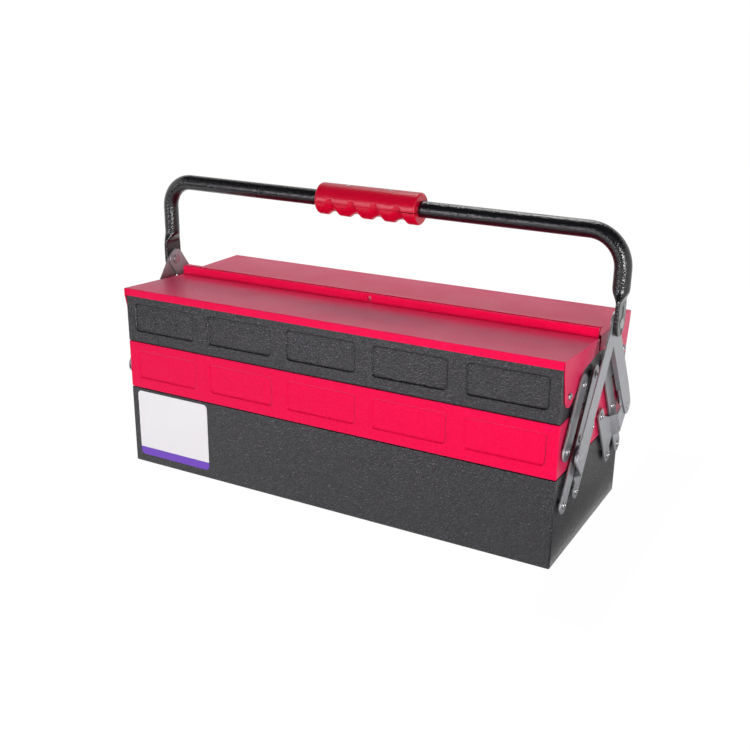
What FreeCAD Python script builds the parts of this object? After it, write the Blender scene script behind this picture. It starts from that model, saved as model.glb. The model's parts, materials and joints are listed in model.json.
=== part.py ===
import FreeCAD, Part
import math
import os

from FreeCAD import Matrix, Vector

# A cantilever tool box: a base tub, two tiers of half-width trays that fold out to the front and
# the back on end linkages, a lid on each top tray and one swinging carrying handle.
# Millimetres, +X along the length, -Y to the front, +Z up, origin under the middle of the base.
# Each linkage piece is drawn at the front right corner and mirrored to the other three.

# Overall sizes
LENGTH = 530.0
DEPTH = 214.4
BASE_HEIGHT = 95.0
TRAY_HEIGHT = 56.5
STACK_GAP = 0.5
CENTRE_GAP = 1.0

# Sheet metal
SHEET = 0.8
BEND_RADIUS = 1.6
HEM_HEIGHT = 6.0
RIM_ROUND = 0.7
OVERRUN = 5.0

# Pressed panels in the outer face of each tray
PANEL_COUNT = 5
PANEL_MARGIN = 2.5
PANEL_SPACING = 19.0
PANEL_ABOVE_FLOOR = 12.6
PANEL_BELOW_RIM = 9.9
PANEL_CORNER = 5.0
PANEL_DEPTH = 1.4
PANEL_SLOPE = 1.2

# Linkage pivots: insets run in from the outer wall, the innermost pivots run out from the mid-plane
BASE_PIVOT_INSET = 16.2
MIDDLE_PIVOT_OUT = 16.5
TOP_PIVOT_OUT = 18.0
PIVOT_ABOVE_FLOOR = 26.5
EAR_PIVOT_INSET = 17.2
EAR_PIVOT_DROP = 2.0
ARM_FOOT_INSET = 23.2
ARM_FOOT_DROP = 7.0
HANDLE_PIVOT_ABOVE_TRAY = 20.0

# Linkage plates
LINK_THICKNESS = 1.8
LINK_WALL_GAP = 2.6
SHORT_LINK_RADIUS = 10.5
LONG_LINK_RADIUS = 9.4
BRACKET_RADIUS = 8.0
PLATE_ROUND = 0.4
ARM_THICKNESS = 1.5
ARM_WIDTH = 24.0
ARM_FOOT_RADIUS = 10.0
ARM_FOOT_TAPER = 26.0
ARM_FLANGE_DEPTH = 3.5
ARM_FLANGE_FROM_HANDLE = 25.0
ARM_FLANGE_FROM_FOOT = 42.0
ARM_STAND_OFF = 15.5
ARM_GAP = 0.2
WING_GAP = 0.25
WING_TIP_RADIUS = 8.5
WING_BEND = math.radians(45.0)
WING_FROM_LONG_LINK = 3.6

# Outline of the bracket beside its two pivots, as shares of the fold's distance and of the span
WING_LOWER_SHARES = [(0.0, 0.0), (0.42, 0.07), (1.0, 0.14), (2.0, 0.21)]
WING_UPPER_SHARES = [(1.95, 0.59), (1.05, 0.63), (0.74, 0.74), (0.4, 0.86), (0.0, 1.0)]

# Rivets
SHANK_RADIUS = 2.5
RUNNING_CLEARANCE = 0.08
SHOULDER_RADIUS = 4.0
RIVET_HEAD_RADIUS = 4.2
RIVET_HEAD_HEIGHT = 1.4
RIVET_TAIL_HEIGHT = 1.2
FACE_CLEARANCE = 0.1
HANDLE_RIVET_RADIUS = 3.0
HANDLE_HEAD_RADIUS = 5.6
HANDLE_HEAD_HEIGHT = 1.6

# Lids
LID_SIDE_GAP = 0.3
LID_END_GAP = 0.25
LID_RISE = 6.7
LID_SKIRT = 8.5
LID_ROUND = 1.2
LID_CORNER_SLIT = 0.5
FRONT_SEAM_OUT = 3.4
FRONT_SEAM_DROP = 4.2
FRONT_LIP_TOP = 13.0
FRONT_LIP_HEM = 1.6
LIP_END_INSET = 1.6
LIP_FOOT_ROUND = 2.5
REAR_SEAM_OUT = 1.0
REAR_SEAM_DROP = 2.3
REAR_LIP_TOP = 13.2
REAR_LIP_WIDTH = 6.0
REAR_LIP_RETURN = 2.2
EAR_RADIUS = 15.0
EAR_CENTRE_INSET = 20.2
EAR_CENTRE_RISE = 1.0
EAR_HEAD_RADIUS = 3.6
EAR_HEAD_HEIGHT = 2.2
BAY_START_BEYOND_PIVOT = 6.0
BAY_START_RISE = 1.0
BAY_MIDDLE_INSIDE_PIVOT = 3.0
BAY_MIDDLE_RISE = 9.7
BAY_END_INSIDE_PIVOT = 16.0
BAY_END_RISE = 13.3
BAY_SEAM_RISE = 18.0
LOCK_HOLE_RADIUS = 3.0
LOCK_HOLE_RISE = 1.1

# Handle
HANDLE_RISE = 93.3
HANDLE_SLANT = math.radians(0.65)
HANDLE_LEG_FROM_ARM = 1.2
HANDLE_BEND_RIGHT = 36.5
HANDLE_BEND_LEFT = 32.0
TUBE_RADIUS = 8.85
TUBE_WALL = 1.4
FLAT_THICKNESS = 4.4
FLAT_WIDTH = 27.0
FLAT_TOP_ABOVE_PIVOT = 20.0
FLAT_GROOVE_WIDTH = 8.0
FLAT_GROOVE_DEPTH = 0.8
FLAT_GROOVE_STOP = 2.0
ROUND_ABOVE_PIVOT = 36.0
HANDLE_GAP = 0.25
FLAT_ROUND = 1.6
JOIN_STEP = 0.05
SQUEEZE_SHARES = [0.0, 0.12, 0.5, 0.88, 1.0]

# Grip
GRIP_LENGTH = 124.6
GRIP_CENTRE = -1.2
GRIP_RADIUS = 17.4
GRIP_FIT = 0.05
GRIP_END_ROUND = 2.5
GRIP_SEAM_DROP = 2.0
GRIP_SEAM_GAP = 0.12
GRIP_SLIT = 0.9
GRIP_SLIT_LENGTH = 38.0
FINGER_COUNT = 4
FINGER_PITCH = 28.0
FINGER_SHIFT = -0.8
FINGER_RADIUS = 13.0
FINGER_DEPTH = 4.1
FINGER_RING_RISE = 3.6
SCREW_SPACING = 52.4
SCREW_CENTRE = -3.3
SCREW_RADIUS = 2.0
SCREW_HEAD_RADIUS = 3.6
SCREW_HEAD_HEIGHT = 2.0
SCREW_LENGTH = 29.0
SCREW_SINK = 2.4
SCREW_CLEARANCE = 0.3

# Label
LABEL_WIDTH = 102.4
LABEL_FROM_END = 9.2
LABEL_ABOVE_FLOOR = 10.5
LABEL_BELOW_RIM = 3.2
LABEL_THICKNESS = 0.3
LABEL_CORNER = 5.0

# Places that follow from the sizes above
HALF_LENGTH = LENGTH / 2
HALF_DEPTH = DEPTH / 2
TIER = TRAY_HEIGHT + STACK_GAP
MIDDLE_FLOOR = BASE_HEIGHT + STACK_GAP
TOP_FLOOR = MIDDLE_FLOOR + TIER
TOP_RIM = TOP_FLOOR + TRAY_HEIGHT
PANEL_PITCH = (LENGTH - 2 * PANEL_MARGIN) / PANEL_COUNT
PANEL_WIDTH = PANEL_PITCH - PANEL_SPACING
PANEL_HEIGHT = TRAY_HEIGHT - PANEL_ABOVE_FLOOR - PANEL_BELOW_RIM
LABEL_HEIGHT = BASE_HEIGHT - LABEL_ABOVE_FLOOR - LABEL_BELOW_RIM

# The linkage as (y, z) places of the end view, for the front
TOP_PIVOT_HEIGHT = TOP_FLOOR + PIVOT_ABOVE_FLOOR
MIDDLE_PIVOT_HEIGHT = TOP_PIVOT_HEIGHT - TIER
BASE_PIVOT_HEIGHT = MIDDLE_PIVOT_HEIGHT - TIER
BASE_PIVOT_OUT = HALF_DEPTH - BASE_PIVOT_INSET
LINK_RUN = (BASE_PIVOT_OUT - TOP_PIVOT_OUT) / 2
PIVOT_SPACING = BASE_PIVOT_OUT - LINK_RUN - MIDDLE_PIVOT_OUT
LINK_SPAN = math.hypot(LINK_RUN, TIER)
LONG_BASE = (-BASE_PIVOT_OUT, BASE_PIVOT_HEIGHT)
LONG_MIDDLE = (LONG_BASE[0] + LINK_RUN, MIDDLE_PIVOT_HEIGHT)
LONG_TOP = (LONG_MIDDLE[0] + LINK_RUN, TOP_PIVOT_HEIGHT)
SHORT_MIDDLE = (LONG_MIDDLE[0] - PIVOT_SPACING, MIDDLE_PIVOT_HEIGHT)
SHORT_TOP = (LONG_TOP[0] - PIVOT_SPACING, TOP_PIVOT_HEIGHT)
BRACKET_BASE = (LONG_BASE[0] + PIVOT_SPACING, BASE_PIVOT_HEIGHT)
BRACKET_MIDDLE = (LONG_MIDDLE[0] + PIVOT_SPACING, MIDDLE_PIVOT_HEIGHT)
ARM_FOOT = (ARM_FOOT_INSET - HALF_DEPTH, MIDDLE_PIVOT_HEIGHT - ARM_FOOT_DROP)
HANDLE_PIVOT = (0.0, TOP_RIM + HANDLE_PIVOT_ABOVE_TRAY)
EAR_PIVOT = (EAR_PIVOT_INSET - HALF_DEPTH, TOP_PIVOT_HEIGHT - EAR_PIVOT_DROP)
WING_FOLD_OUT = PIVOT_SPACING * TIER / LINK_SPAN - LONG_LINK_RADIUS - WING_FROM_LONG_LINK

# The layers outside the end walls, and the lid's and the handle's faces
LINK_INNER = HALF_LENGTH + LINK_WALL_GAP
LINK_OUTER = LINK_INNER + LINK_THICKNESS
ARM_FACE = HALF_LENGTH + ARM_STAND_OFF
FRONT_ARM_INNER = ARM_FACE - ARM_THICKNESS
REAR_ARM_INNER = FRONT_ARM_INNER - ARM_GAP - ARM_THICKNESS
LID_HALF_LENGTH = HALF_LENGTH + LID_END_GAP + SHEET
LID_FRONT = -HALF_DEPTH - LID_SIDE_GAP - SHEET
LID_TOP = TOP_RIM + LID_RISE
FLAT_INNER = ARM_FACE + HANDLE_GAP
HANDLE_TOP = HANDLE_PIVOT[1] + HANDLE_RISE
HANDLE_LEG_OUT = ARM_FACE + HANDLE_LEG_FROM_ARM

OUTWARD = Vector(1, 0, 0)
BACKWARD = Vector(0, 1, 0)
UPWARD = Vector(0, 0, 1)
STRAIGHT_SHARE = 0.999


def block(x_low, x_high, y_low, y_high, z_low, z_high):
    """A box between two corners."""
    corner = Vector(x_low, y_low, z_low)
    return Part.makeBox(x_high - x_low, y_high - y_low, z_high - z_low, corner)


def point(place, x):
    """A point of the end view, given as (y, z), on the plane at x."""
    return Vector(x, place[0], place[1])


def bar(place, radius, x_low, x_high):
    """A round bar along X at a place of the end view."""
    return Part.makeCylinder(radius, x_high - x_low, point(place, x_low), OUTWARD)


def cut_bars(shape, places, radius, x_low=-LENGTH, x_high=LENGTH):
    """Drills one hole along X at each place."""
    for place in places:
        shape = shape.cut(bar(place, radius, x_low, x_high))
    return shape


def fused(shapes):
    """One solid out of touching shapes."""
    return shapes[0].fuse(shapes[1:]).removeSplitter()


def along(edge, axis):
    """True for a straight edge that runs along an axis."""
    run = edge.Vertexes[-1].Point - edge.Vertexes[0].Point
    return run.Length > 0 and abs(run.dot(axis)) > STRAIGHT_SHARE * run.Length


def rounded_block(x_half, y_low, y_high, z_low, z_high, radius):
    """A box with rounded upright and floor edges, like folded sheet."""
    body = block(-x_half, x_half, y_low, y_high, z_low, z_high)
    soft = []
    for edge in body.Edges:
        upright = along(edge, UPWARD)
        on_floor = edge.BoundBox.ZMax < z_low + RIM_ROUND
        if upright or on_floor:
            soft.append(edge)
    return body.makeFillet(radius, soft)


def tub(y_low, y_high, floor, height):
    """An open sheet-metal tub with a folded hem inside its rim."""
    rim = floor + height
    fold = BEND_RADIUS - SHEET
    outside = rounded_block(HALF_LENGTH, y_low, y_high, floor, rim, BEND_RADIUS)
    inner_half = HALF_LENGTH - SHEET
    below_hem = rim - HEM_HEIGHT
    cavity = rounded_block(inner_half, y_low + SHEET, y_high - SHEET, floor + SHEET, below_hem, fold)
    hem = 2 * SHEET
    mouth = rounded_block(HALF_LENGTH - hem, y_low + hem, y_high - hem,
                          below_hem - OVERRUN, rim + OVERRUN, BEND_RADIUS)
    body = outside.cut(cavity).cut(mouth)
    top = [edge for edge in body.Edges if edge.BoundBox.ZMin > rim - FACE_CLEARANCE]
    return body.makeFillet(RIM_ROUND, top)


def panel(centre, outer_face, floor, grow):
    """The space of one pressed panel, pushed inward from the outer face by its depth."""
    half = PANEL_WIDTH / 2 + grow
    low = floor + PANEL_ABOVE_FLOOR - grow
    high = floor + PANEL_ABOVE_FLOOR + PANEL_HEIGHT + grow
    deep = outer_face + PANEL_DEPTH
    body = block(centre - half, centre + half, outer_face, deep, low, high)
    corners = [edge for edge in body.Edges if along(edge, BACKWARD)]
    body = body.makeFillet(PANEL_CORNER + grow, corners)
    deepest = [edge for edge in body.Edges if edge.BoundBox.YMin > deep - FACE_CLEARANCE]
    return body.makeChamfer(PANEL_SLOPE, deepest)


def panel_centres():
    """Places of the pressed panels along the tray."""
    first = -(PANEL_COUNT - 1) / 2
    return [(first + index) * PANEL_PITCH for index in range(PANEL_COUNT)]


def tray(floor, pivots):
    """A front tray with its pressed panels and rivet holes."""
    body = tub(-HALF_DEPTH, -CENTRE_GAP / 2, floor, TRAY_HEIGHT)
    for centre in panel_centres():
        pad = panel(centre, -HALF_DEPTH, floor, SHEET)
        pad.translate(Vector(0, SHEET, 0))
        recess = panel(centre, -HALF_DEPTH, floor, 0.0)
        body = body.fuse(pad).cut(recess)
    return cut_bars(body.removeSplitter(), pivots, SHANK_RADIUS)


def base_box():
    """The bottom tub with its eight rivet holes."""
    body = tub(-HALF_DEPTH, HALF_DEPTH, 0.0, BASE_HEIGHT)
    pivots = [LONG_BASE, BRACKET_BASE]
    pivots += [(-place[0], place[1]) for place in pivots]
    return cut_bars(body, pivots, SHANK_RADIUS)


def turned(place, steps, dome):
    """A rivet turned about X: steps of (radius, x start, x end), then a domed head."""
    start = steps[0][1]
    outline = [Vector(start, 0, 0)]
    for radius, x_low, x_high in steps:
        outline.append(Vector(x_low, radius, 0))
        outline.append(Vector(x_high, radius, 0))
    head_radius, head_start, head_end = dome
    head_foot = Vector(head_start, head_radius, 0)
    outline.append(head_foot)
    crown = Vector(head_end, 0, 0)
    rise = head_end - head_start
    ball = (head_radius ** 2 + rise ** 2) / (2 * rise)
    halfway = math.asin(head_radius / ball) / 2
    shoulder = Vector(head_end - ball + ball * math.cos(halfway), ball * math.sin(halfway), 0)
    edges = [Part.makeLine(a, b) for a, b in zip(outline, outline[1:]) if (b - a).Length > 0]
    edges.append(Part.Arc(head_foot, shoulder, crown).toShape())
    edges.append(Part.makeLine(crown, outline[0]))
    body = Part.Face(Part.Wire(edges)).revolve(Vector(0, 0, 0), OUTWARD, 360)
    body.translate(point(place, 0.0))
    return body


def wall_rivet(place, held_inner, held_outer, head_radius, head_height):
    """A rivet fixed in an end wall, with a shoulder that carries the plate it holds."""
    inside = HALF_LENGTH - SHEET
    shoulder_end = held_inner - FACE_CLEARANCE
    head_start = held_outer + FACE_CLEARANCE
    steps = [(RIVET_HEAD_RADIUS, inside - RIVET_TAIL_HEIGHT, inside)]
    steps.append((SHANK_RADIUS, inside, HALF_LENGTH))
    steps.append((SHOULDER_RADIUS, HALF_LENGTH, shoulder_end))
    steps.append((SHANK_RADIUS, shoulder_end, head_start))
    return turned(place, steps, (head_radius, head_start, head_start + head_height))


def link_rivets(places):
    """The rivets that hold links on one end wall."""
    rivets = []
    for place in places:
        rivets.append(wall_rivet(place, LINK_INNER, LINK_OUTER, RIVET_HEAD_RADIUS, RIVET_HEAD_HEIGHT))
    return rivets


def capsule(start, end, start_radius, end_radius, x_low, thickness):
    """A flat plate whose outline wraps two circles of the end view."""
    run = Vector(0, end[0] - start[0], end[1] - start[1])
    span = run.Length
    run.normalize()
    lean = math.asin((start_radius - end_radius) / span)
    side = Vector(0, -run.z, run.y)
    first = point(start, x_low)
    last = point(end, x_low)
    left = side * math.cos(lean) + run * math.sin(lean)
    right = side * -math.cos(lean) + run * math.sin(lean)
    a, b = first + left * start_radius, last + left * end_radius
    c, d = last + right * end_radius, first + right * start_radius
    edges = [Part.makeLine(a, b), Part.Arc(b, last + run * end_radius, c).toShape()]
    edges += [Part.makeLine(c, d), Part.Arc(d, first - run * start_radius, a).toShape()]
    return Part.Face(Part.Wire(edges)).extrude(OUTWARD * thickness)


def softened(plate, x_face):
    """Rounds the outline of a plate's outer face."""
    rim = [edge for edge in plate.Edges if edge.BoundBox.XMin > x_face - FACE_CLEARANCE]
    return plate.makeFillet(PLATE_ROUND, rim)


def link(start, end, radius, holes):
    """A flat link with running holes for its rivets."""
    plate = softened(capsule(start, end, radius, radius, LINK_INNER, LINK_THICKNESS), LINK_OUTER)
    return cut_bars(plate, holes, SHANK_RADIUS + RUNNING_CLEARANCE)


def bracket_frame():
    """Places a drawing of (across, along, out) on the bracket: along runs from its base pivot up."""
    run = Vector(0, LINK_RUN, TIER).normalize()
    across = Vector(0, run.z, -run.y)
    origin = point(BRACKET_BASE, 0.0)
    rows = [(across.x, run.x, 1, origin.x), (across.y, run.y, 0, origin.y)]
    rows.append((across.z, run.z, 0, origin.z))
    return Matrix(*rows[0], *rows[1], *rows[2])


def bracket_foot():
    """The arm pivot as (across, along) on the bracket."""
    run = Vector(0, LINK_RUN, TIER).normalize()
    reach = Vector(0, ARM_FOOT[0] - BRACKET_BASE[0], ARM_FOOT[1] - BRACKET_BASE[1])
    return reach.y * run.z - reach.z * run.y, reach.dot(run)


def bent_strip(wing_outer, low, high, reach):
    """Sheet that leaves the wall plane at the fold and runs on at the wing's height."""
    rise = wing_outer - LINK_OUTER
    run = rise / math.tan(WING_BEND)
    turn = LINK_THICKNESS * math.tan(WING_BEND / 2)
    near = BRACKET_RADIUS
    outer = [(near, LINK_OUTER), (-WING_FOLD_OUT, LINK_OUTER)]
    outer += [(-WING_FOLD_OUT - run, wing_outer), (-reach, wing_outer)]
    wing_inner = wing_outer - LINK_THICKNESS
    inner = [(-reach, wing_inner), (-WING_FOLD_OUT - run - turn, wing_inner)]
    inner += [(-WING_FOLD_OUT - turn, LINK_INNER), (near, LINK_INNER)]
    ring = [Vector(across, low, out) for across, out in outer + inner]
    face = Part.Face(Part.makePolygon(ring + ring[:1]))
    return face.extrude(Vector(0, high - low, 0))


def bracket_outline(foot):
    """The bracket's outline seen from its end, as a prism through every layer."""
    deep = HALF_LENGTH - OVERRUN
    tall = Vector(0, 0, ARM_FACE - deep)
    tip = WING_TIP_RADIUS
    corners = [(-across * WING_FOLD_OUT, up * LINK_SPAN) for across, up in WING_LOWER_SHARES]
    corners += [(foot[0], foot[1] - tip), (foot[0], foot[1] + tip)]
    corners += [(-across * WING_FOLD_OUT, up * LINK_SPAN) for across, up in WING_UPPER_SHARES]
    ring = [Vector(across, up, deep) for across, up in corners]
    middle = Part.Face(Part.makePolygon(ring + ring[:1])).extrude(tall)
    ends = [Part.makeCylinder(BRACKET_RADIUS, tall.z, Vector(0, up, deep)) for up in (0.0, LINK_SPAN)]
    strap = Part.makeBox(2 * BRACKET_RADIUS, LINK_SPAN, tall.z, Vector(-BRACKET_RADIUS, 0, deep))
    nose = Part.makeCylinder(tip, tall.z, Vector(foot[0], foot[1], deep))
    return fused([middle, strap, nose] + ends)


def bracket(wing_outer):
    """The inner link: a plate on the wall, bent outward to a wing that carries the arm."""
    foot = bracket_foot()
    reach = -foot[0] + WING_TIP_RADIUS + OVERRUN
    beyond = BRACKET_RADIUS + OVERRUN
    sheet = bent_strip(wing_outer, -beyond, LINK_SPAN + beyond, reach)
    body = sheet.common(bracket_outline(foot)).transformGeometry(bracket_frame())
    body = body.removeSplitter()
    return cut_bars(body, [BRACKET_BASE, BRACKET_MIDDLE], SHANK_RADIUS + RUNNING_CLEARANCE)


def arm(inner):
    """The long arm from the bracket's wing to the handle pivot, with a flange on its inner edge."""
    outer = inner + ARM_THICKNESS
    reach = Vector(0, HANDLE_PIVOT[0] - ARM_FOOT[0], HANDLE_PIVOT[1] - ARM_FOOT[1])
    span = reach.Length
    run = reach.normalize()
    side = Vector(0, run.z, -run.y)
    half = ARM_WIDTH / 2
    start = point(ARM_FOOT, inner)
    knee = start + run * ARM_FOOT_TAPER
    knee_place = (knee.y, knee.z)
    upper = capsule(knee_place, HANDLE_PIVOT, half, half, inner, ARM_THICKNESS)
    lower = capsule(ARM_FOOT, knee_place, ARM_FOOT_RADIUS, half, inner, ARM_THICKNESS)
    plate = softened(fused([upper, lower]), outer)
    corner = start + run * ARM_FLANGE_FROM_FOOT + side * (half - ARM_THICKNESS)
    length = span - ARM_FLANGE_FROM_FOOT - ARM_FLANGE_FROM_HANDLE
    ring = [corner, corner + side * ARM_THICKNESS]
    ring += [corner + side * ARM_THICKNESS + run * length, corner + run * length]
    flange = Part.Face(Part.makePolygon(ring + ring[:1])).extrude(OUTWARD * -ARM_FLANGE_DEPTH)
    body = fused([plate, flange])
    body = cut_bars(body, [ARM_FOOT], SHANK_RADIUS)
    return cut_bars(body, [HANDLE_PIVOT], HANDLE_RIVET_RADIUS + RUNNING_CLEARANCE)


def arm_rivet(inner):
    """The rivet at the arm's foot, set flush with the arm's inner face."""
    outer = inner + ARM_THICKNESS
    steps = [(SHANK_RADIUS, inner, outer)]
    return turned(ARM_FOOT, steps, (RIVET_HEAD_RADIUS, outer, outer + RIVET_HEAD_HEIGHT))


def handle_rivet():
    """The long rivet through both arms and the flattened handle end."""
    inside = REAR_ARM_INNER - FACE_CLEARANCE
    outside = FLAT_INNER + FLAT_THICKNESS + FACE_CLEARANCE
    steps = [(HANDLE_HEAD_RADIUS, inside - HANDLE_HEAD_HEIGHT, inside)]
    steps.append((HANDLE_RIVET_RADIUS, inside, outside))
    return turned(HANDLE_PIVOT, steps, (HANDLE_HEAD_RADIUS, outside, outside + HANDLE_HEAD_HEIGHT))


def tangent_point(centre, radius, place, side):
    """Where a line from a place touches a circle, on the circle's left (1) or right (-1)."""
    reach = place - centre
    turn = side * math.acos(radius / reach.Length)
    angle = math.atan2(reach.z, reach.y) + turn
    return centre + Vector(0, math.cos(angle), math.sin(angle)) * radius


def ear_outline(seam_out, seam_top):
    """A lid's end view as a prism: a skirt that drops to a rounded ear, then a bay up to the seam."""
    start = Vector(0, LID_FRONT, LID_TOP - LID_SKIRT)
    centre = Vector(0, EAR_CENTRE_INSET - HALF_DEPTH, TOP_PIVOT_HEIGHT + EAR_CENTRE_RISE)
    pivot = point(SHORT_TOP, 0.0)
    bay_start = pivot + Vector(0, -BAY_START_BEYOND_PIVOT, BAY_START_RISE)
    bay_middle = pivot + Vector(0, BAY_MIDDLE_INSIDE_PIVOT, BAY_MIDDLE_RISE)
    bay_end = pivot + Vector(0, BAY_END_INSIDE_PIVOT, BAY_END_RISE)
    seam = Vector(0, -seam_out, TOP_PIVOT_HEIGHT + BAY_SEAM_RISE)
    top = Vector(0, -seam_out, seam_top)
    corner = Vector(0, LID_FRONT, seam_top)
    ear_left = tangent_point(centre, EAR_RADIUS, start, 1)
    ear_right = tangent_point(centre, EAR_RADIUS, bay_start, -1)
    ear_bottom = centre - UPWARD * EAR_RADIUS
    edges = [Part.makeLine(start, ear_left), Part.Arc(ear_left, ear_bottom, ear_right).toShape()]
    edges += [Part.makeLine(ear_right, bay_start), Part.Arc(bay_start, bay_middle, bay_end).toShape()]
    edges += [Part.makeLine(bay_end, seam), Part.makeLine(seam, top)]
    edges += [Part.makeLine(top, corner), Part.makeLine(corner, start)]
    face = Part.Face(Part.Wire(edges))
    face.translate(OUTWARD * -LENGTH)
    return face.extrude(OUTWARD * 2 * LENGTH)


def lid_shell(seam_out, seam_drop):
    """The lid's top, front skirt and two end flanges, drawn for the front."""
    seam = -seam_out
    outer = [(LID_FRONT, MIDDLE_FLOOR), (LID_FRONT, LID_TOP)]
    outer += [(seam, LID_TOP - seam_drop), (seam, MIDDLE_FLOOR)]
    ring = [point(place, -LID_HALF_LENGTH) for place in outer]
    body = Part.Face(Part.makePolygon(ring + ring[:1])).extrude(OUTWARD * 2 * LID_HALF_LENGTH)
    soft = []
    for edge in body.Edges:
        low = edge.BoundBox.ZMin
        on_top = low > LID_TOP - seam_drop - FACE_CLEARANCE
        on_seam = edge.BoundBox.YMin > seam - FACE_CLEARANCE
        if on_top and not on_seam:
            soft.append(edge)
    body = body.makeFillet(LID_ROUND, soft)
    inner_half = LID_HALF_LENGTH - SHEET
    tilt = seam_drop / (seam - LID_FRONT)
    below = MIDDLE_FLOOR - OVERRUN
    beyond = seam + OVERRUN
    inner = [(LID_FRONT + SHEET, below), (LID_FRONT + SHEET, LID_TOP - SHEET)]
    inner += [(beyond, LID_TOP - SHEET - tilt * (beyond - LID_FRONT)), (beyond, below)]
    ring = [point(place, -inner_half) for place in inner]
    return body.cut(Part.Face(Part.makePolygon(ring + ring[:1])).extrude(OUTWARD * 2 * inner_half))


def front_lip():
    """The hemmed lip along the front lid's seam, rising from a soft bend."""
    seam = -FRONT_SEAM_OUT
    tilt = FRONT_SEAM_DROP / (seam - LID_FRONT)
    top = LID_TOP - FRONT_SEAM_DROP
    lip = TOP_RIM + FRONT_LIP_TOP
    back = seam + FRONT_LIP_HEM
    round_over = FRONT_LIP_HEM / 2
    foot = Vector(0, seam - LIP_FOOT_ROUND, top + tilt * LIP_FOOT_ROUND)
    rise = Vector(0, seam, top + LIP_FOOT_ROUND)
    sag = LIP_FOOT_ROUND * (1 - math.cos(math.radians(45.0)))
    hollow = Vector(0, seam - sag, top + sag)
    shoulder = Vector(0, seam, lip - round_over)
    crown = Vector(0, seam + round_over, lip)
    far = Vector(0, back, lip - round_over)
    under = Vector(0, back, top - SHEET)
    under_foot = Vector(0, seam - LIP_FOOT_ROUND, top - SHEET + tilt * LIP_FOOT_ROUND)
    edges = [Part.Arc(foot, hollow, rise).toShape(), Part.makeLine(rise, shoulder)]
    edges += [Part.Arc(shoulder, crown, far).toShape(), Part.makeLine(far, under)]
    edges += [Part.makeLine(under, under_foot), Part.makeLine(under_foot, foot)]
    return Part.Face(Part.Wire(edges))


def rear_lip():
    """The rear lid's lip: up at the seam, over a narrow shelf and part of the way down."""
    seam = -REAR_SEAM_OUT
    lip = TOP_RIM + REAR_LIP_TOP
    back = seam - REAR_LIP_WIDTH
    base = LID_TOP - REAR_SEAM_DROP - SHEET
    low = lip - REAR_LIP_RETURN
    places = [(seam, base), (seam, lip), (back, lip), (back, low)]
    places += [(back + SHEET, low), (back + SHEET, lip - SHEET)]
    places += [(seam - SHEET, lip - SHEET), (seam - SHEET, base)]
    ring = [point(place, 0.0) for place in places]
    return Part.Face(Part.makePolygon(ring + ring[:1]))


def lid(seam_out, seam_drop, lip_face):
    """A whole lid, drawn for the front and open at the seam."""
    body = lid_shell(seam_out, seam_drop)
    body = body.common(ear_outline(seam_out, LID_TOP + OVERRUN))
    inner_half = LID_HALF_LENGTH - SHEET
    front = LID_FRONT - OVERRUN
    behind = LID_FRONT + 2 * SHEET
    body = body.cut(block(-inner_half, inner_half, front, behind, 0.0, LID_TOP - LID_SKIRT))
    for side in (-1, 1):
        edge = side * inner_half
        slit_low = min(edge, edge - side * LID_CORNER_SLIT)
        slit_high = LID_TOP - LID_ROUND - SHEET
        slit_end = slit_low + LID_CORNER_SLIT
        body = body.cut(block(slit_low, slit_end, front, LID_FRONT + SHEET, 0.0, slit_high))
    lip_half = LID_HALF_LENGTH - LIP_END_INSET
    lip_face.translate(OUTWARD * -lip_half)
    lip = lip_face.extrude(OUTWARD * 2 * lip_half)
    body = fused([body, lip])
    hole_start = Vector(0, -OVERRUN - FRONT_SEAM_OUT, LID_TOP + LOCK_HOLE_RISE)
    body = body.cut(Part.makeCylinder(LOCK_HOLE_RADIUS, 2 * OVERRUN, hole_start, BACKWARD))
    return cut_bars(body, [EAR_PIVOT], SHANK_RADIUS + RUNNING_CLEARANCE)


def ear_rivet():
    """The rivet in the top tray's end wall that the lid turns on."""
    inner = HALF_LENGTH + LID_END_GAP
    return wall_rivet(EAR_PIVOT, inner, inner + SHEET, EAR_HEAD_RADIUS, EAR_HEAD_HEIGHT)


def handle_section(height, share):
    """One stadium section of a handle leg: share 0 is the round tube, 1 the flattened end."""
    thick = TUBE_RADIUS - 2 * JOIN_STEP + (FLAT_THICKNESS / 2 - TUBE_RADIUS) * share
    wide = TUBE_RADIUS - JOIN_STEP + (FLAT_WIDTH / 2 - TUBE_RADIUS) * share
    centre = HANDLE_LEG_OUT + (FLAT_INNER + FLAT_THICKNESS / 2 - HANDLE_LEG_OUT) * share
    straight = wide - thick
    outer = [Vector(centre + thick, side * straight, height) for side in (-1, 1)]
    inner = [Vector(centre - thick, side * straight, height) for side in (1, -1)]
    edges = [Part.makeLine(outer[0], outer[1])]
    edges.append(Part.Arc(outer[1], Vector(centre, wide, height), inner[0]).toShape())
    edges.append(Part.makeLine(inner[0], inner[1]))
    edges.append(Part.Arc(inner[1], Vector(centre, -wide, height), outer[0]).toShape())
    return Part.Wire(edges)


def rounded_corner(before, corner, after, radius):
    """The start, the middle and the end of the arc that rounds a corner of a path."""
    inward = (before - corner).normalize()
    onward = (after - corner).normalize()
    half = inward.getAngle(onward) / 2
    reach = radius / math.tan(half)
    bisector = (inward + onward).normalize()
    middle = corner + bisector * (radius / math.sin(half) - radius)
    return corner + inward * reach, middle, corner + onward * reach


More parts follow.
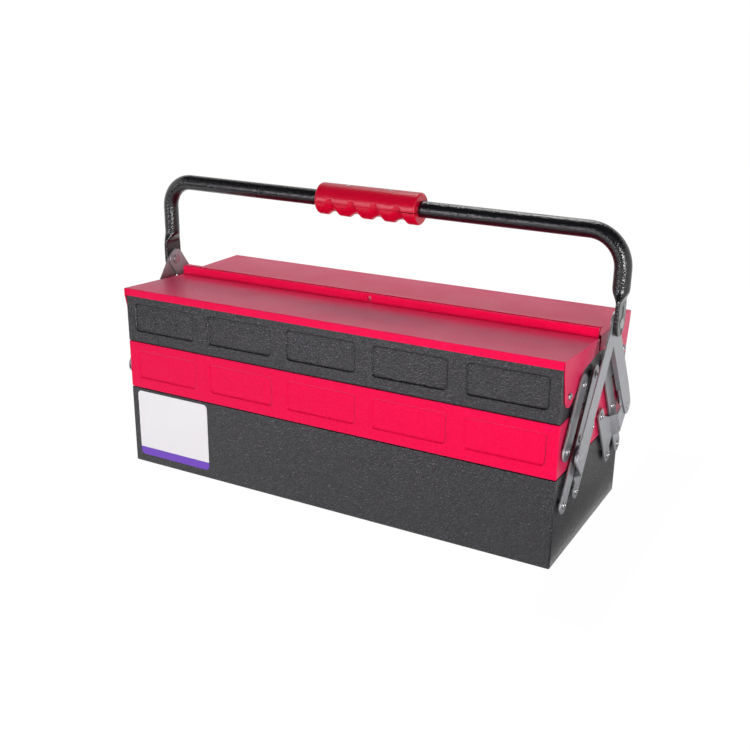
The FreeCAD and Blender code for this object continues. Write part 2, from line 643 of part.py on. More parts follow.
def handle_path(leg_low):
    """The middle line of the handle's round tube, from the right leg over to the left one."""
    fall = HANDLE_LEG_OUT * math.tan(HANDLE_SLANT)
    foot = Vector(HANDLE_LEG_OUT, 0, leg_low)
    shoulder = Vector(HANDLE_LEG_OUT, 0, HANDLE_TOP - fall)
    far_shoulder = Vector(-HANDLE_LEG_OUT, 0, HANDLE_TOP + fall)
    far_foot = Vector(-HANDLE_LEG_OUT, 0, leg_low)
    knee, corner, top = rounded_corner(foot, shoulder, far_shoulder, HANDLE_BEND_RIGHT)
    far_top, far_corner, far_knee = rounded_corner(shoulder, far_shoulder, far_foot, HANDLE_BEND_LEFT)
    edges = [Part.makeLine(foot, knee), Part.Arc(knee, corner, top).toShape()]
    edges += [Part.makeLine(top, far_top), Part.Arc(far_top, far_corner, far_knee).toShape()]
    edges.append(Part.makeLine(far_knee, far_foot))
    return Part.Wire(edges)


def swept_tube(radius, leg_low):
    """A round section carried along the handle's middle line."""
    ring = Part.Wire([Part.makeCircle(radius, Vector(HANDLE_LEG_OUT, 0, leg_low), UPWARD)])
    return handle_path(leg_low).makePipeShell([ring], True, False)


def flattened_end():
    """The right leg's lower end: a stretch squeezed from the tube and a flat with a rounded tip."""
    round_start = HANDLE_PIVOT[1] + ROUND_ABOVE_PIVOT
    flat_top = HANDLE_PIVOT[1] + FLAT_TOP_ABOVE_PIVOT
    drop = round_start - flat_top
    last = len(SQUEEZE_SHARES) - 1
    sections = []
    for index, share in enumerate(SQUEEZE_SHARES):
        sections.append(handle_section(round_start - drop * index / last, share))
    squeeze = Part.makeLoft(sections, True, False)
    outside = FLAT_INNER + FLAT_THICKNESS
    strap = block(FLAT_INNER, outside, -FLAT_WIDTH / 2, FLAT_WIDTH / 2, HANDLE_PIVOT[1], flat_top)
    flat = fused([strap, bar(HANDLE_PIVOT, FLAT_WIDTH / 2, FLAT_INNER, outside)])
    rims = []
    for edge in flat.Edges:
        across = along(edge, OUTWARD)
        on_top = edge.BoundBox.ZMin > flat_top - JOIN_STEP
        if not across and not on_top:
            rims.append(edge)
    hollow = (FLAT_GROOVE_WIDTH ** 2 / 4 + FLAT_GROOVE_DEPTH ** 2) / (2 * FLAT_GROOVE_DEPTH)
    groove_foot = Vector(outside + hollow - FLAT_GROOVE_DEPTH, 0, HANDLE_PIVOT[1] - FLAT_WIDTH)
    groove_length = FLAT_WIDTH + FLAT_TOP_ABOVE_PIVOT - FLAT_GROOVE_STOP
    groove = Part.makeCylinder(hollow, groove_length, groove_foot, UPWARD)
    return [squeeze, flat.makeFillet(FLAT_ROUND, rims).cut(groove)]


def slanted(shape):
    """Turns a piece that is drawn level round the middle of the handle's bar to the bar's slant."""
    shape.rotate(Vector(0, 0, HANDLE_TOP), BACKWARD, math.degrees(HANDLE_SLANT))
    return shape


def screw_places():
    """Places of the grip screws along the handle."""
    half = SCREW_SPACING / 2
    return [SCREW_CENTRE - half, SCREW_CENTRE + half]


def upright_bar(x, radius, z_low, z_high):
    """A round bar along Z in the handle's plane."""
    return Part.makeCylinder(radius, z_high - z_low, Vector(x, 0, z_low), UPWARD)


def handle_tube():
    """The bent tube with both flattened ends, its pivot holes and its screw holes."""
    leg_low = HANDLE_PIVOT[1] + ROUND_ABOVE_PIVOT
    skin = swept_tube(TUBE_RADIUS, leg_low)
    tube = skin.cut(swept_tube(TUBE_RADIUS - TUBE_WALL, leg_low + TUBE_WALL))
    body = tube.fuse(both_ends(flattened_end()))
    body = cut_bars(body, [HANDLE_PIVOT], HANDLE_RIVET_RADIUS + RUNNING_CLEARANCE)
    low, high = HANDLE_TOP - GRIP_RADIUS, HANDLE_TOP + GRIP_RADIUS
    for x in screw_places():
        body = body.cut(slanted(upright_bar(x, SCREW_RADIUS + SCREW_CLEARANCE, low, high)))
    return body


def finger_rings():
    """Rings round the grip that sink into its underside and run out on its front and back."""
    ring_radius = GRIP_RADIUS - FINGER_DEPTH + FINGER_RING_RISE + FINGER_RADIUS
    rings = []
    for index in range(FINGER_COUNT):
        x = GRIP_CENTRE + FINGER_SHIFT + (index - (FINGER_COUNT - 1) / 2) * FINGER_PITCH
        middle = Vector(x, 0, HANDLE_TOP + FINGER_RING_RISE)
        rings.append(Part.makeTorus(ring_radius, FINGER_RADIUS, middle, OUTWARD))
    return rings


def grip_block(z_low, z_high):
    """The part of the rounded grip between two heights, hollowed for the fingers and the tube."""
    start = GRIP_CENTRE - GRIP_LENGTH / 2
    body = Part.makeCylinder(GRIP_RADIUS, GRIP_LENGTH, Vector(start, 0, HANDLE_TOP), OUTWARD)
    rims = [edge for edge in body.Edges if not along(edge, OUTWARD)]
    body = body.makeFillet(GRIP_END_ROUND, rims)
    bore_radius = TUBE_RADIUS + GRIP_FIT
    bore_start = Vector(start - OVERRUN, 0, HANDLE_TOP)
    body = body.cut(Part.makeCylinder(bore_radius, GRIP_LENGTH + 2 * OVERRUN, bore_start, OUTWARD))
    for ring in finger_rings():
        body = body.cut(ring)
    end = start + GRIP_LENGTH + OVERRUN
    wide = GRIP_RADIUS + OVERRUN
    return body.common(block(start - OVERRUN, end, -wide, wide, z_low, z_high))


def grip_upper():
    """The upper half of the grip with sunk screw seats."""
    low = HANDLE_TOP - GRIP_SEAM_DROP + GRIP_SEAM_GAP / 2
    body = grip_block(low, HANDLE_TOP + 2 * GRIP_RADIUS)
    seat = HANDLE_TOP + GRIP_RADIUS - SCREW_SINK
    above = HANDLE_TOP + GRIP_RADIUS + OVERRUN
    for x in screw_places():
        body = body.cut(upright_bar(x, SCREW_RADIUS + SCREW_CLEARANCE, HANDLE_TOP, above))
        body = body.cut(upright_bar(x, SCREW_HEAD_RADIUS + SCREW_CLEARANCE, seat, above))
    return slanted(body)


def grip_slit(high):
    """The wedge by which the seam opens towards the grip's right end."""
    end = GRIP_CENTRE + GRIP_LENGTH / 2
    wide = GRIP_RADIUS + OVERRUN
    ring = [Vector(end - GRIP_SLIT_LENGTH, -wide, high), Vector(end, -wide, high)]
    ring.append(Vector(end, -wide, high - GRIP_SLIT))
    return Part.Face(Part.makePolygon(ring + ring[:1])).extrude(BACKWARD * 2 * wide)


def grip_lower():
    """The lower half of the grip, threaded for the screws."""
    high = HANDLE_TOP - GRIP_SEAM_DROP - GRIP_SEAM_GAP / 2
    body = grip_block(HANDLE_TOP - 2 * GRIP_RADIUS, high).cut(grip_slit(high))
    seat = HANDLE_TOP + GRIP_RADIUS - SCREW_SINK
    for x in screw_places():
        body = body.cut(upright_bar(x, SCREW_RADIUS, seat - SCREW_LENGTH, high + OVERRUN))
    return slanted(body)


def grip_screw(x):
    """A pan-head screw from the upper half of the grip through the tube into the lower half."""
    seat = HANDLE_TOP + GRIP_RADIUS - SCREW_SINK
    shank = upright_bar(x, SCREW_RADIUS, seat - SCREW_LENGTH, seat)
    head = upright_bar(x, SCREW_HEAD_RADIUS, seat, seat + SCREW_HEAD_HEIGHT)
    crown = [edge for edge in head.Edges if edge.BoundBox.ZMin > seat + SCREW_HEAD_HEIGHT / 2]
    return slanted(fused([shank, head.makeFillet(SCREW_HEAD_HEIGHT / 2, crown)]))


def label():
    """A thin rounded label on the front of the base."""
    left = LABEL_FROM_END - HALF_LENGTH
    face = -HALF_DEPTH
    body = block(left, left + LABEL_WIDTH, face - LABEL_THICKNESS, face,
                 LABEL_ABOVE_FLOOR, LABEL_ABOVE_FLOOR + LABEL_HEIGHT)
    corners = [edge for edge in body.Edges if along(edge, BACKWARD)]
    return body.makeFillet(LABEL_CORNER, corners)


def to_left(shape):
    """The same piece at the left end."""
    return shape.mirror(Vector(0, 0, 0), OUTWARD)


def to_rear(shape):
    """The same piece at the back."""
    return shape.mirror(Vector(0, 0, 0), BACKWARD)


def both_ends(shapes):
    """Right-end pieces with their left-end twins."""
    return shapes + [to_left(shape) for shape in shapes]


def save(name, shapes):
    """Writes one node."""
    for shape in shapes:
        if not shape.isValid():
            print("not valid:", name)
    whole = shapes[0] if len(shapes) == 1 else Part.makeCompound(shapes)
    whole.exportStep("parts/" + name + ".step")
    print(name, len(whole.Solids), round(whole.Volume, 1))


def side_pieces():
    """Every piece of the front half, by node name without its side."""
    long_holes = [LONG_BASE, LONG_MIDDLE, LONG_TOP]
    pieces = {}
    pieces["middle_tray"] = [tray(MIDDLE_FLOOR, [SHORT_MIDDLE, LONG_MIDDLE, BRACKET_MIDDLE])]
    pieces["top_tray"] = [tray(TOP_FLOOR, [SHORT_TOP, LONG_TOP, EAR_PIVOT])]
    pieces["middle_tray_rivets"] = both_ends(link_rivets([SHORT_MIDDLE, LONG_MIDDLE, BRACKET_MIDDLE]))
    pieces["top_tray_rivets"] = both_ends(link_rivets([SHORT_TOP, LONG_TOP]))
    pieces["lid_rivets"] = both_ends([ear_rivet()])
    plates = {}
    plates["short_link"] = link(SHORT_MIDDLE, SHORT_TOP, SHORT_LINK_RADIUS, [SHORT_MIDDLE, SHORT_TOP])
    plates["long_link"] = link(LONG_BASE, LONG_TOP, LONG_LINK_RADIUS, long_holes)
    for name, plate in plates.items():
        pieces[name + "_right"] = [plate]
        pieces[name + "_left"] = [to_left(plate)]
    return pieces


def arm_pieces(arm_inner):
    """The arms, their rivets and the brackets under them for one side, drawn for the front."""
    swing = arm(arm_inner)
    carrier = bracket(arm_inner - WING_GAP)
    pieces = {"arm_rivets": both_ends([arm_rivet(arm_inner)])}
    for name, plate in (("arm", swing), ("bracket", carrier)):
        pieces[name + "_right"] = [plate]
        pieces[name + "_left"] = [to_left(plate)]
    return pieces


def main():
    os.makedirs("parts", exist_ok=True)
    save("base_box", [base_box()])
    base_pins = link_rivets([LONG_BASE, BRACKET_BASE])
    save("base_rivets", both_ends(base_pins + [to_rear(pin) for pin in base_pins]))
    save("label", [label()])
    for name, shapes in side_pieces().items():
        save("front_" + name, shapes)
        save("rear_" + name, [to_rear(shape) for shape in shapes])
    for name, shapes in arm_pieces(FRONT_ARM_INNER).items():
        save("front_" + name, shapes)
    for name, shapes in arm_pieces(REAR_ARM_INNER).items():
        save("rear_" + name, [to_rear(shape) for shape in shapes])
    save("front_lid", [lid(FRONT_SEAM_OUT, FRONT_SEAM_DROP, front_lip())])
    save("rear_lid", [to_rear(lid(REAR_SEAM_OUT, REAR_SEAM_DROP, rear_lip()))])
    save("handle_rivets", both_ends([handle_rivet()]))
    save("handle_tube", [handle_tube()])
    save("grip_upper", [grip_upper()])
    save("grip_lower", [grip_lower()])
    save("grip_screws", [grip_screw(x) for x in screw_places()])


main()
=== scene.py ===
import json
import math

import bpy
from mathutils import Matrix, Vector


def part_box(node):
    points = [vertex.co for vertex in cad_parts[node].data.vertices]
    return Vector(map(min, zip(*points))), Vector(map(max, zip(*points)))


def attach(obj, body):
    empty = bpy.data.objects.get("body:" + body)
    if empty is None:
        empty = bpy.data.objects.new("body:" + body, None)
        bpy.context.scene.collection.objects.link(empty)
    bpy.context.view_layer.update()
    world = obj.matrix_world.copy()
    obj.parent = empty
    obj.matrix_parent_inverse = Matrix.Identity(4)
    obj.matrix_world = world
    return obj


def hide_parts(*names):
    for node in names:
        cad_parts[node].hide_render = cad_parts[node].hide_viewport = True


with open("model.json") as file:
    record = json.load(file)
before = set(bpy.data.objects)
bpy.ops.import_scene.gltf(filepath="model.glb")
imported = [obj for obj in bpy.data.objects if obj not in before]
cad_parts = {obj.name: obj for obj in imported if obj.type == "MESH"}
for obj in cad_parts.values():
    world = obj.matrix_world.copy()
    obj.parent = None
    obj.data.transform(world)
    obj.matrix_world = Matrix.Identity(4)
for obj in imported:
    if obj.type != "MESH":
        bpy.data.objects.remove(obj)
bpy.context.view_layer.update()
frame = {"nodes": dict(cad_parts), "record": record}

# Lengths are in metres and angles in degrees, but LENS and SENSOR are in millimetres

# The camera that fits the photograph, on an orbit round TARGET
TARGET = Vector((0.00729, 0.0, 0.12594))
DISTANCE = 1.15054
AZIMUTH = 28.91
ELEVATION = 18.86
ROLL = 0.77
LENS = 48.02
SENSOR = 36.0
CLIP_START = 0.01
CLIP_END = 100.0

# Light: at a level of 1 a colour shows as it is written
WHITE = 1.0
AMBIENT = 0.17
BACKDROP = 1.0
LAMPS = {
    "key": {"place": (1.7, -2.0, 0.38), "aim": (0.0, 0.0, 0.12), "size": (0.6, 0.6), "level": 0.66},
    "top": {"place": (-0.3, 0.75, 1.9), "aim": (0.0, 0.0, 0.15), "size": (0.9, 0.7), "level": 0.4},
    "low": {"place": (-1.05, -2.6, 0.32), "aim": (0.0, 0.0, 0.15), "size": (1.6, 0.5), "level": 0.33,
            "colour": (0.96, 0.92, 1.0)},
}

# The floor, whose glow replaces a share of its lit surface for the camera and for reflections
FLOOR_REACH = (-12.0, 12.0)
FLOOR_SHADE = 0.92
GLOW_SEEN = 0.92
GLOW_MIRRORED = 0.85
GLOW_LEVEL = 1.075

# The dark parts of the studio, and a grey card that is a painted shadow of the box on the floor: each card
# is its reach along X, then along Y
ROOM_X = (-3.0, 4.0)
ROOM_FRONT = -2.8
CEILING_BACK = 1.2
CEILING_HEIGHT = 2.2
LEFT_CARD = ((-1.6, -0.5), (-1.4, -0.42))
RIGHT_SHADOW_CARD = ((0.27, 0.345), (-0.2, 0.26))
CARD_LIFT = 0.002
DARK_SHADE = 0.03
SHADOW_CARD_GREY = 0.36

# What the paints and the steel share
NEAR_SAMPLES = 6
NOISE_ROUGHNESS = 0.5

# Hammered paint: its noises, how far round a crease its painted shade reaches, and how open the places
# are where that shade is darkest and where it ends
DIMPLE_DETAIL = 1.0
DIMPLE_RANGE = (0.25, 0.75)
GRAINS_PER_DIMPLE = 1.5
GRAIN_DETAIL = 2.0
GRAIN_ROUGHNESS = 0.6
GRAIN_RANGE = (0.3, 0.7)
CLOUD_SCALE = 22.0
CLOUD_DETAIL = 3.0
CLOUD_DRIFT = 0.25
PAINTED_SHADE_REACH = 0.003
PAINTED_SHADE_RANGE = (0.7, 0.96)
MIDDLE_GLOSS = 0.5
COAT_ROUGHNESS = 0.16
SHEEN_ROUGHNESS = 0.5
SHEEN_TINT = (0.6, 0.42, 1.0)

# Plated steel: streaks drawn along Z, over clouds of two faint hues
STREAK_SCALE = 700.0
STREAK_DETAIL = 2.0
STREAK_SQUEEZE = (1.0, 1.0, 0.06)
STREAK_DEPTH = 0.38
STREAK_ROUGHNESS = (0.8, 1.25)
HUE_SCALE = 60.0
HUE_DETAIL = 4.0
HUES = ((1.0, 0.86, 1.06), (0.94, 1.1, 0.98))
STEEL_METALLIC = 0.75
STEEL_EDGE = 0.0005

# The label's film and the band along its lower edge
FILM_COLOUR = (0.95, 0.95, 0.955)
FILM_ROUGHNESS = 0.32
BAND_COLOUR = (0.18, 0.06, 0.56)
BAND_HEIGHT = 0.0098

# Rivets through the end walls: the wall, the layers their heads hold, and a head's radius and height
WALL_FACE = 0.265
SHEET = 0.0008
LINK_LAYER = (0.2676, 0.2694)
LID_LAYER = (0.26525, 0.26605)
LINK_HEAD = (0.0042, 0.0014)
LID_HEAD = (0.0036, 0.0022)
SHANK_RADIUS = 0.0025
SHOULDER_RADIUS = 0.004
FOOT_RADIUS = 0.0042
TAIL = 0.0012
GAP = 0.0001

# The rolled shape of a rivet, in shares of its tail and foot, and of its head's height and radius
FOOT_RISE_SHARE = 0.7
FOOT_EDGE_SHARE = 0.9
CROWN_SHARES = ((0.45, 0.98), (0.8, 0.88), (1.0, 0.72), (0.96, 0.6), (0.6, 0.53), (-0.5, 0.5), (-0.55, 0.1))

# How many steps a round piece has, and the angle from which its edges are sharp
RING_STEPS = 36
SHARP_ANGLE = 38.0

# Places of the front rivets, which the rear ones mirror. The base has its own at both sides.
BASE_RIVETS_Y = (0.091, 0.053)
BASE_RIVETS_Z = 0.065
MIDDLE_RIVETS_Y = (-0.0925, -0.0545, -0.0165)
MIDDLE_RIVETS_Z = 0.122
TOP_RIVETS_Y = (-0.056, -0.018)
TOP_RIVETS_Z = 0.179
LID_RIVET_Y = -0.09
LID_RIVET_Z = 0.177

# The sockets of a colour mix: its two colours and its result
MIX_LOW = 6
MIX_HIGH = 7
MIX_RESULT = 2


def grey(shade):
    """An opaque colour without a hue."""
    return (shade, shade, shade, 1)


def add_object(name, data):
    """An object in the scene for some data."""
    item = bpy.data.objects.new(name, data)
    bpy.context.scene.collection.objects.link(item)
    return item


def add_camera():
    """The photograph's view, as an orbit round a target with a little roll."""
    azimuth, elevation, roll = (math.radians(angle) for angle in (AZIMUTH, ELEVATION, ROLL))
    flat = math.cos(elevation)
    back = Vector((math.sin(azimuth) * flat, -math.cos(azimuth) * flat, math.sin(elevation)))
    right = Vector((math.cos(azimuth), math.sin(azimuth), 0.0))
    up = back.cross(right)
    tilted_right = right * math.cos(roll) + up * math.sin(roll)
    tilted_up = up * math.cos(roll) - right * math.sin(roll)
    data = bpy.data.cameras.new("camera")
    data.lens = LENS
    data.sensor_width = SENSOR
    data.clip_start = CLIP_START
    data.clip_end = CLIP_END
    camera = add_object("camera", data)
    turn = Matrix((tilted_right, tilted_up, back)).transposed().to_4x4()
    camera.matrix_world = Matrix.Translation(TARGET + back * DISTANCE) @ turn
    bpy.context.scene.camera = camera


def add_lamp(name, place, aim, size, level, colour=(1.0, 1.0, 1.0)):
    """A soft box whose level is the share of full brightness that it gives at the aim."""
    data = bpy.data.lights.new(name, "AREA")
    data.shape = "RECTANGLE"
    data.size, data.size_y = size
    data.color = colour
    reach = Vector(aim) - Vector(place)
    data.energy = level * math.pi ** 2 * reach.length_squared
    lamp = add_object(name, data)
    lamp.location = place
    lamp.rotation_euler = reach.to_track_quat("-Z", "Y").to_euler()


class Graph:
    """Short names for building a node tree: add gives a node, and the others give its output."""

    def __init__(self, tree):
        self.tree = tree
        tree.nodes.clear()

    def add(self, kind, inputs=None, **settings):
        """A node whose inputs are linked where they are sockets, and set where they are values."""
        node = self.tree.nodes.new(kind)
        for key, value in settings.items():
            setattr(node, key, value)
        for key, value in (inputs or {}).items():
            if isinstance(value, bpy.types.NodeSocket):
                self.tree.links.new(value, node.inputs[key])
            else:
                node.inputs[key].default_value = value
        return node

    def place(self):
        """The place on the object, in its own metres."""
        return self.add("ShaderNodeTexCoord").outputs["Object"]

    def maths(self, operation, first, second):
        """Two values worked into one."""
        return self.add("ShaderNodeMath", {0: first, 1: second}, operation=operation).outputs[0]

    def noise(self, place, scale, detail, roughness=NOISE_ROUGHNESS):
        """Cloudy values round a half."""
        inputs = {"Vector": place, "Scale": scale, "Detail": detail, "Roughness": roughness}
        return self.add("ShaderNodeTexNoise", inputs).outputs["Fac"]

    def span(self, value, start=(0.0, 1.0), end=(0.0, 1.0)):
        """A value carried from one range to another."""
        inputs = {"Value": value, "From Min": start[0], "From Max": start[1]}
        inputs.update({"To Min": end[0], "To Max": end[1]})
        return self.add("ShaderNodeMapRange", inputs).outputs[0]

    def blend(self, factor, low, high):
        """A colour between two others."""
        inputs = {"Factor": factor, MIX_LOW: (*low, 1), MIX_HIGH: (*high, 1)}
        return self.add("ShaderNodeMix", inputs, data_type="RGBA").outputs[MIX_RESULT]

    def relief(self, height, depth, edge):
        """The slopes of a bump, over edges that are rounded by a radius."""
        soft = self.add("ShaderNodeBevel", {"Radius": edge}, samples=NEAR_SAMPLES)
        inputs = {"Height": height, "Distance": depth, "Strength": 1.0, "Normal": soft.outputs[0]}
        return self.add("ShaderNodeBump", inputs).outputs[0]


def new_material(name):
    """A material, and the graph that its nodes go in."""
    material = bpy.data.materials.new(name)
    material.use_nodes = True
    return material, Graph(material.node_tree)


def set_world():
    """White for the camera and for reflections, softer for everything the light falls on."""
    world = bpy.data.worlds.new("studio")
    world.use_nodes = True
    g = Graph(world.node_tree)
    path = g.add("ShaderNodeLightPath")
    seen = g.maths("MAXIMUM", path.outputs["Is Camera Ray"], path.outputs["Is Glossy Ray"])
    seen = g.maths("MAXIMUM", seen, path.outputs["Is Transmission Ray"])
    soft = g.add("ShaderNodeBackground", {"Color": grey(WHITE), "Strength": AMBIENT})
    white = g.add("ShaderNodeBackground", {"Color": grey(WHITE), "Strength": BACKDROP})
    mixed = g.add("ShaderNodeMixShader", {0: seen, 1: soft.outputs[0], 2: white.outputs[0]})
    g.add("ShaderNodeOutputWorld", {0: mixed.outputs[0]})
    bpy.context.scene.world = world


def level_corners(reach_x, reach_y, z):
    """The corners of a level rectangle."""
    (left, right), (front, back) = reach_x, reach_y
    return [(left, front, z), (right, front, z), (right, back, z), (left, back, z)]


def stage_sheet(name, corners, material, seen=True):
    """A flat sheet of the studio, which the camera sees or doesn't."""
    mesh = bpy.data.meshes.new(name)
    mesh.from_pydata(corners, [], [(0, 1, 2, 3)])
    mesh.materials.append(material)
    sheet = add_object(name, mesh)
    sheet.visible_camera = seen


def add_floor():
    """A wide pale floor that stays white for the camera and keeps a soft shadow."""
    material, g = new_material("floor")
    path = g.add("ShaderNodeLightPath")
    seen = g.maths("MULTIPLY", path.outputs["Is Camera Ray"], GLOW_SEEN)
    mirrored = g.maths("MULTIPLY", path.outputs["Is Glossy Ray"], GLOW_MIRRORED)
    share = g.maths("MAXIMUM", seen, mirrored)
    lit = g.add("ShaderNodeBsdfDiffuse", {"Color": grey(FLOOR_SHADE)})
    glow = g.add("ShaderNodeEmission", {"Color": grey(WHITE), "Strength": GLOW_LEVEL})
    mixed = g.add("ShaderNodeMixShader", {0: share, 1: lit.outputs[0], 2: glow.outputs[0]})
    g.add("ShaderNodeOutputMaterial", {0: mixed.outputs[0]})
    stage_sheet("floor", level_corners(FLOOR_REACH, FLOOR_REACH, 0.0), material)


def add_flag(name, corners, shade=DARK_SHADE):
    """A dark sheet that only reflections and stray light meet."""
    material, g = new_material(name)
    cloth = g.add("ShaderNodeBsdfDiffuse", {"Color": grey(shade)})
    g.add("ShaderNodeOutputMaterial", {0: cloth.outputs[0]})
    stage_sheet(name, corners, material, seen=False)


def add_flags():
    """The front wall and the ceiling of the studio, and two cards on its floor, the grey one a painted
    shadow of the box on the floor.
    """
    left, right = ROOM_X
    foot = [(left, ROOM_FRONT, 0.0), (right, ROOM_FRONT, 0.0)]
    head = [(right, ROOM_FRONT, CEILING_HEIGHT), (left, ROOM_FRONT, CEILING_HEIGHT)]
    add_flag("room_front", foot + head)
    add_flag("card_left", level_corners(*LEFT_CARD, CARD_LIFT))
    # Painted shadow: a grey card beside the right end, in place of the floor in the box's shadow as the end
    # walls reflect it
    add_flag("shadow_card_right", level_corners(*RIGHT_SHADOW_CARD, CARD_LIFT), SHADOW_CARD_GREY)
    add_flag("ceiling", level_corners(ROOM_X, (ROOM_FRONT, CEILING_BACK), CEILING_HEIGHT))


def scaled(colour, share):
    """A colour made darker or brighter."""
    return [channel * share for channel in colour]


def hammered(name, colour, roughness, size, height, ior=1.45, fleck=0.25, coat=0.0, edge=0.0012,
             tint=(1.0, 1.0, 1.0), swing=0.16, sheen=0.0, crease_shade_share=0.25):
    """Hammered paint: rounded dimples in a gloss that varies from grain to grain.

    size and height are a dimple's, and edge is the radius of an edge. fleck is how far the colour varies,
    and swing how far the gloss does. In a crease both are darkened, as painted shade, to the share given by
    the last argument.
    """
    material, g = new_material(name)
    place = g.place()
    dimples = g.noise(place, 1 / size, DIMPLE_DETAIL)
    crest = g.span(dimples, DIMPLE_RANGE)
    cloud = g.noise(place, CLOUD_SCALE, CLOUD_DETAIL)
    grains = g.noise(place, GRAINS_PER_DIMPLE / size, GRAIN_DETAIL, GRAIN_ROUGHNESS)
    speck = g.span(grains, GRAIN_RANGE, (MIDDLE_GLOSS - swing, MIDDLE_GLOSS + swing))
    # Painted shade: ambient occlusion darkens the colour and the gloss in creases and hollows
    crease_occlusion = g.add("ShaderNodeAmbientOcclusion", {"Distance": PAINTED_SHADE_REACH}, samples=NEAR_SAMPLES,
                 only_local=True)
    painted_crease_shade = g.span(crease_occlusion.outputs["AO"], PAINTED_SHADE_RANGE, (crease_shade_share, 1.0))
    gloss = g.maths("MULTIPLY", speck, painted_crease_shade)
    film = g.maths("MULTIPLY", gloss, coat / MIDDLE_GLOSS)
    even = g.blend(speck, scaled(colour, 1 - fleck), scaled(colour, 1 + fleck))
    tone = g.add("ShaderNodeVectorMath", {0: even, "Scale": painted_crease_shade}, operation="SCALE")
    rough = g.span(cloud, end=(roughness * (1 - CLOUD_DRIFT), roughness * (1 + CLOUD_DRIFT)))
    bump = g.relief(crest, height, edge)
    shader = g.add("ShaderNodeBsdfPrincipled", {
        "Base Color": tone.outputs[0], "Roughness": rough, "IOR": ior, "Normal": bump,
        "Coat Weight": film, "Coat Roughness": COAT_ROUGHNESS, "Coat Normal": bump,
        "Specular IOR Level": gloss, "Specular Tint": (*tint, 1),
        "Sheen Weight": sheen, "Sheen Roughness": SHEEN_ROUGHNESS, "Sheen Tint": (*SHEEN_TINT, 1),
    })
    g.add("ShaderNodeOutputMaterial", {0: shader.outputs[0]})
    return material


def steel(name, colour, roughness, grain):
    """Plated sheet steel with a fine drawn grain of a depth."""
    material, g = new_material(name)
    place = g.place()
    stretched = g.add("ShaderNodeMapping", {"Vector": place, "Scale": STREAK_SQUEEZE})
    lines = g.noise(stretched.outputs[0], STREAK_SCALE, STREAK_DETAIL)
    cloud = g.noise(place, HUE_SCALE, HUE_DETAIL)
    streak = g.blend(lines, scaled(colour, 1 - STREAK_DEPTH), scaled(colour, 1 + STREAK_DEPTH))
    hue = g.blend(cloud, *HUES)
    tone = g.add("ShaderNodeMix", {"Factor": 1.0, MIX_LOW: streak, MIX_HIGH: hue}, data_type="RGBA",
                 blend_type="MULTIPLY")
    rough = g.span(lines, end=scaled(STREAK_ROUGHNESS, roughness))
    bump = g.relief(lines, grain, STEEL_EDGE)
    shader = g.add("ShaderNodeBsdfPrincipled", {
        "Base Color": tone.outputs[MIX_RESULT], "Metallic": STEEL_METALLIC, "Roughness": rough,
        "Normal": bump,
    })
    g.add("ShaderNodeOutputMaterial", {0: shader.outputs[0]})
    return material


def label_film():
    """White film with a plain coloured band along its lower edge."""
    material, g = new_material("label_film")
    lower_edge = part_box("label")[0].z
    parts = g.add("ShaderNodeSeparateXYZ", {0: g.place()})
    band = g.maths("LESS_THAN", parts.outputs["Z"], lower_edge + BAND_HEIGHT)
    tone = g.blend(band, FILM_COLOUR, BAND_COLOUR)
    shader = g.add("ShaderNodeBsdfPrincipled", {"Base Color": tone, "Roughness": FILM_ROUGHNESS})
    g.add("ShaderNodeOutputMaterial", {0: shader.outputs[0]})
    return material


def lathe(name, profile, places):
    """One mesh of round pieces along X, at both ends of the box and at each (y, z) place.

    The profile is a row of (x, radius) rings.
    """
    vertices = []
    faces = []
    for place_y, place_z in places:
        for side in (-1, 1):
            start = len(vertices)
            for x, radius in profile:
                for step in range(RING_STEPS):
                    angle = 2 * math.pi * step / RING_STEPS
                    y = place_y + radius * math.cos(angle)
                    vertices.append((side * x, y, place_z + radius * math.sin(angle)))
            for row in range(len(profile) - 1):
                for step in range(RING_STEPS):
                    a = start + row * RING_STEPS + step
                    b = start + row * RING_STEPS + (step + 1) % RING_STEPS
                    quad = (a, b, b + RING_STEPS, a + RING_STEPS)
                    faces.append(quad if side > 0 else quad[::-1])
            for row, flip in ((0, side > 0), (len(profile) - 1, side < 0)):
                cap = [start + row * RING_STEPS + step for step in range(RING_STEPS)]
                faces.append(tuple(reversed(cap)) if flip else tuple(cap))
    mesh = bpy.data.meshes.new(name)
    mesh.from_pydata(vertices, [], faces)
    mesh.shade_smooth()
    mesh.set_sharp_from_angle(angle=math.radians(SHARP_ANGLE))
    return add_object(name, mesh)


def dished_rivets(node, body, places, layer, head, finish):
    """Tubular rivets in the end walls, whose rolled heads are dished in the middle."""
    inner, outer = layer
    radius, height = head
    inside = WALL_FACE - SHEET
    crown = outer + GAP
    profile = [
        (inside - TAIL, FOOT_RADIUS * FOOT_EDGE_SHARE),
        (inside - TAIL * FOOT_RISE_SHARE, FOOT_RADIUS),
        (inside, FOOT_RADIUS),
        (inside, SHANK_RADIUS),
        (WALL_FACE, SHANK_RADIUS),
        (WALL_FACE, SHOULDER_RADIUS),
        (inner - GAP, SHOULDER_RADIUS),
        (inner - GAP, SHANK_RADIUS),
        (crown, SHANK_RADIUS),
        (crown, radius),
    ]
    profile += [(crown + height * rise, radius * wide) for rise, wide in CROWN_SHARES]
    piece = lathe(node + "_dished", profile, places)
    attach(piece, body)
    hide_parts(node)
    piece.data.materials.append(finish)


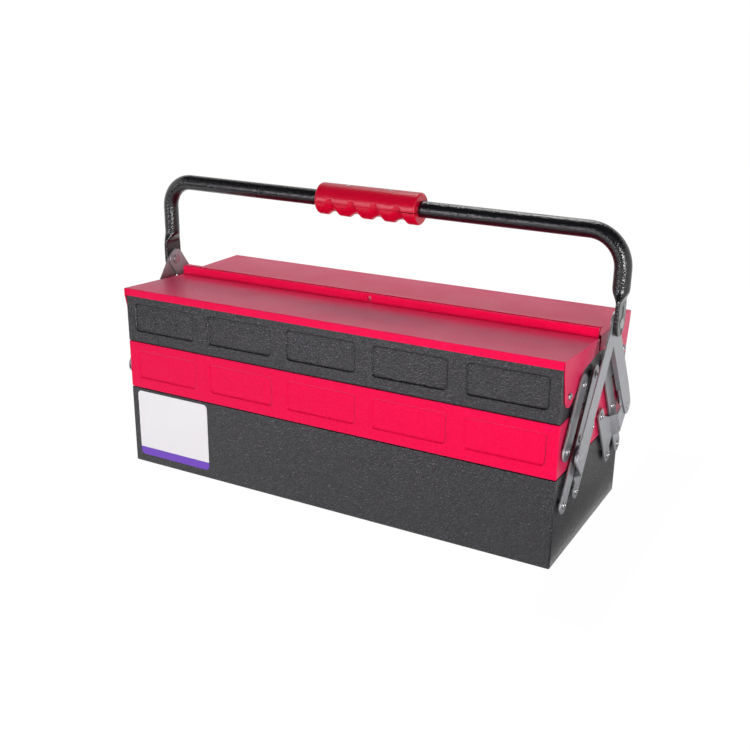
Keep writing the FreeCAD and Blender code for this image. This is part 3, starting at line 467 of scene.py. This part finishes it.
def add_rivets(finish):
    """Every rivet that shows on the end walls, front and rear."""
    base = [(sign * y, BASE_RIVETS_Z) for sign in (-1, 1) for y in BASE_RIVETS_Y]
    dished_rivets("base_rivets", "base", base, LINK_LAYER, LINK_HEAD, finish)
    for side, sign in (("front", 1), ("rear", -1)):
        middle = [(sign * y, MIDDLE_RIVETS_Z) for y in MIDDLE_RIVETS_Y]
        top = [(sign * y, TOP_RIVETS_Z) for y in TOP_RIVETS_Y]
        lid = [(sign * LID_RIVET_Y, LID_RIVET_Z)]
        tray = side + "_middle_tray"
        dished_rivets(tray + "_rivets", tray, middle, LINK_LAYER, LINK_HEAD, finish)
        tray = side + "_top_tray"
        dished_rivets(tray + "_rivets", tray, top, LINK_LAYER, LINK_HEAD, finish)
        dished_rivets(side + "_lid_rivets", tray, lid, LID_LAYER, LID_HEAD, finish)


def dress(finishes):
    """Gives every CAD node the finish of its slot."""
    for row in frame["record"]["subparts"]:
        mesh = frame["nodes"][row["node"]].data
        mesh.materials.clear()
        mesh.materials.append(finishes[row["material_slot"]])
    add_rivets(finishes["rivet_steel"])


add_camera()
set_world()
add_floor()
add_flags()
for lamp_name, lamp in LAMPS.items():
    add_lamp(lamp_name, **lamp)
bpy.context.scene.view_settings.view_transform = "Standard"

# The last share given to a hammered paint is how far painted shade darkens it in creases
dress({
    "black_paint": hammered("black_paint", colour=(0.0125, 0.011, 0.0145), roughness=0.32, size=0.0019,
                            height=0.0004, fleck=0.25, coat=0.3, edge=0.0008, swing=0.2, crease_shade_share=0.2),
    "red_paint": hammered("red_paint", colour=(0.94, 0.0, 0.058), roughness=0.36, size=0.002,
                          height=0.0002, ior=1.4, fleck=0.03, edge=0.0008, tint=(1.0, 0.25, 0.8),
                          swing=0.24, sheen=0.2, crease_shade_share=0.7),
    "zinc_steel": steel("zinc_steel", colour=(0.41, 0.41, 0.415), roughness=0.44, grain=0.00001),
    "rivet_steel": steel("rivet_steel", colour=(0.42, 0.41, 0.4), roughness=0.26, grain=0.000006),
    "handle_black": hammered("handle_black", colour=(0.006, 0.0055, 0.007), roughness=0.26, size=0.0018,
                             height=0.00022, coat=0.4),
    "grip_red": hammered("grip_red", colour=(0.64, 0.002, 0.03), roughness=0.3, size=0.0012,
                         height=0.00008, ior=1.42, fleck=0.08, edge=0.0009, crease_shade_share=0.6),
    "label_paper": label_film(),
})
